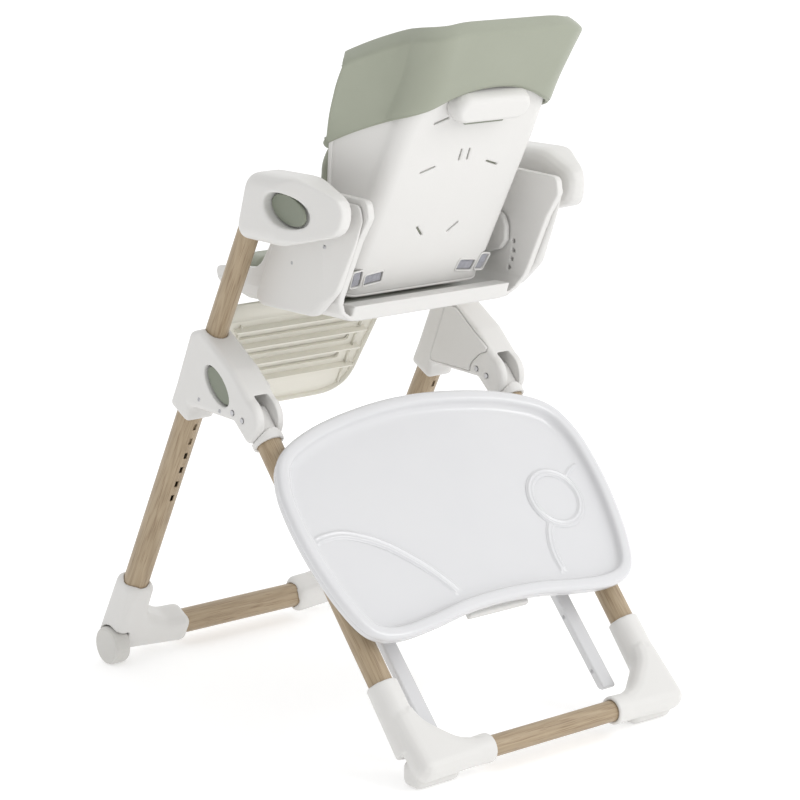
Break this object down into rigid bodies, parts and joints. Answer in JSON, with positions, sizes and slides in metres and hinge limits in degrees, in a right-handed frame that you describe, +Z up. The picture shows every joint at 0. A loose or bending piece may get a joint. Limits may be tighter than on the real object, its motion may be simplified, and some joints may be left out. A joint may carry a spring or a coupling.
{
  "type": "folding baby high chair",
  "caption": "Folding baby high chair with wood-look tube legs, padded reclining seat, calf rest and a tray stowed on the rear legs.",
  "frame": {"origin": "middle of the chair's footprint box, on the floor", "axes": "+X to the seated child's left, -Y the way the child faces, +Z up"},
  "size_m": [0.6126, 0.8606, 1.1099],
  "materials": {
    "white_shell": "moulded, fine satin grain",
    "ivory_panel": "moulded, satin",
    "wood_foil": "steel tube with printed light oak film, satin",
    "sage_cover": "sage leatherette cover, matt, stitched seams",
    "sage_plastic": "moulded sage, satin",
    "tray_white": "polished moulding",
    "steel": "zinc plated",
    "webbing": "woven grey harness webbing",
    "wheel_grey": "moulded, worn satin"
  },
  "bodies": {
    "front_frame": {"front_crossbar": "wood_foil", "front_foot_left": "white_shell", "front_foot_right": "white_shell", "front_tube_left": "wood_foil", "front_tube_right": "wood_foil", "hinge_cover_left": "white_shell", "hinge_cover_right": "white_shell", "hinge_housing_left": "white_shell", "hinge_housing_right": "white_shell", "pivot_bolt_left": "steel", "pivot_bolt_right": "steel", "stop_bolt_left": "steel", "stop_bolt_right": "steel", "wheel_axle_left": "steel", "wheel_axle_right": "steel"},
    "wheel_left": {"wheel_left": "wheel_grey"},
    "wheel_right": {"wheel_right": "wheel_grey"},
    "fold_trigger_left": {"fold_trigger_left": "sage_plastic"},
    "fold_trigger_right": {"fold_trigger_right": "sage_plastic"},
    "rear_frame": {"leg_knuckle_left": "white_shell", "leg_knuckle_right": "white_shell", "rear_crossbar": "wood_foil", "rear_foot_left": "white_shell", "rear_foot_right": "white_shell", "rear_tube_left": "wood_foil", "rear_tube_right": "wood_foil"},
    "seat": {"armrest_left": "white_shell", "armrest_right": "white_shell", "column_left": "wood_foil", "column_right": "wood_foil", "crotch_post": "sage_cover", "height_pin_left": "steel", "height_pin_right": "steel", "seat_pad": "sage_cover", "seat_tub": "white_shell", "side_panel_left": "white_shell", "side_panel_right": "white_shell"},
    "height_trigger_left": {"height_trigger_left": "sage_plastic"},
    "height_trigger_right": {"height_trigger_right": "sage_plastic"},
    "backrest": {"back_pad": "sage_cover", "backrest_shell": "white_shell", "head_cover": "sage_cover", "hip_anchor_left": "webbing", "hip_anchor_right": "webbing", "recline_ear_left": "white_shell", "recline_ear_right": "white_shell", "recline_handle": "white_shell", "waist_anchor_left": "webbing", "waist_anchor_right": "webbing"},
    "recline_lever": {"recline_lever": "sage_plastic"},
    "calf_rest": {"calf_pad": "sage_cover", "calf_panel": "ivory_panel"},
    "tray": {"tray_arm_left": "tray_white", "tray_arm_right": "tray_white", "tray_base": "tray_white"},
    "tray_insert": {"tray_insert": "tray_white"},
    "tray_release": {"tray_release": "white_shell"}
  },
  "joints": [
    {"name": "fold", "type": "hinge", "parent": "front_frame", "child": "rear_frame", "pos_m": [0, 0.0066, 0.486], "axis": [-1, 0, 0], "range_deg": [0, 65]},
    {"name": "seat_height", "type": "slide", "parent": "front_frame", "child": "seat", "axis": [0, -0.4741, -0.8805], "range_m": [0, 0.1764]},
    {"name": "recline", "type": "hinge", "parent": "seat", "child": "backrest", "pos_m": [0, 0.0316, 0.724], "axis": [-1, 0, 0], "range_deg": [0, 26]},
    {"name": "calf_rest", "type": "hinge", "parent": "seat", "child": "calf_rest", "pos_m": [0, -0.1454, 0.672], "axis": [-1, 0, 0], "range_deg": [0, 55]},
    {"name": "wheel_spin_left", "type": "hinge", "parent": "front_frame", "child": "wheel_left", "pos_m": [0.262, -0.3874, 0.032], "axis": [1, 0, 0], "continuous": true},
    {"name": "fold_trigger_press_left", "type": "slide", "parent": "front_frame", "child": "fold_trigger_left", "axis": [-1, 0, 0], "range_m": [0, 0.004], "stiffness_N_per_m": 800, "springref_m": -0.002},
    {"name": "height_trigger_press_left", "type": "slide", "parent": "seat", "child": "height_trigger_left", "axis": [-1, 0, 0], "range_m": [0, 0.004], "stiffness_N_per_m": 800, "springref_m": -0.002},
    {"name": "wheel_spin_right", "type": "hinge", "parent": "front_frame", "child": "wheel_right", "pos_m": [-0.262, -0.3874, 0.032], "axis": [1, 0, 0], "continuous": true},
    {"name": "fold_trigger_press_right", "type": "slide", "parent": "front_frame", "child": "fold_trigger_right", "axis": [1, 0, 0], "range_m": [0, 0.004], "stiffness_N_per_m": 800, "springref_m": -0.002},
    {"name": "height_trigger_press_right", "type": "slide", "parent": "seat", "child": "height_trigger_right", "axis": [1, 0, 0], "range_m": [0, 0.004], "stiffness_N_per_m": 800, "springref_m": -0.002},
    {"name": "recline_lever_squeeze", "type": "slide", "parent": "backrest", "child": "recline_lever", "axis": [0, 0.4856, 0.8742], "range_m": [0, 0.006], "stiffness_N_per_m": 600, "springref_m": -0.003},
    {"name": "tray_lift_off", "type": "slide", "parent": "rear_frame", "child": "tray", "axis": [0, 0.7431, 0.6691], "range_m": [0, 0.08]},
    {"name": "tray_insert_lift_out", "type": "slide", "parent": "tray", "child": "tray_insert", "axis": [0, 0.7431, 0.6691], "range_m": [0, 0.06]},
    {"name": "tray_release_squeeze", "type": "slide", "parent": "tray", "child": "tray_release", "axis": [0, -0.6691, 0.7431], "range_m": [0, 0.006], "stiffness_N_per_m": 600, "springref_m": -0.003}
  ]
}
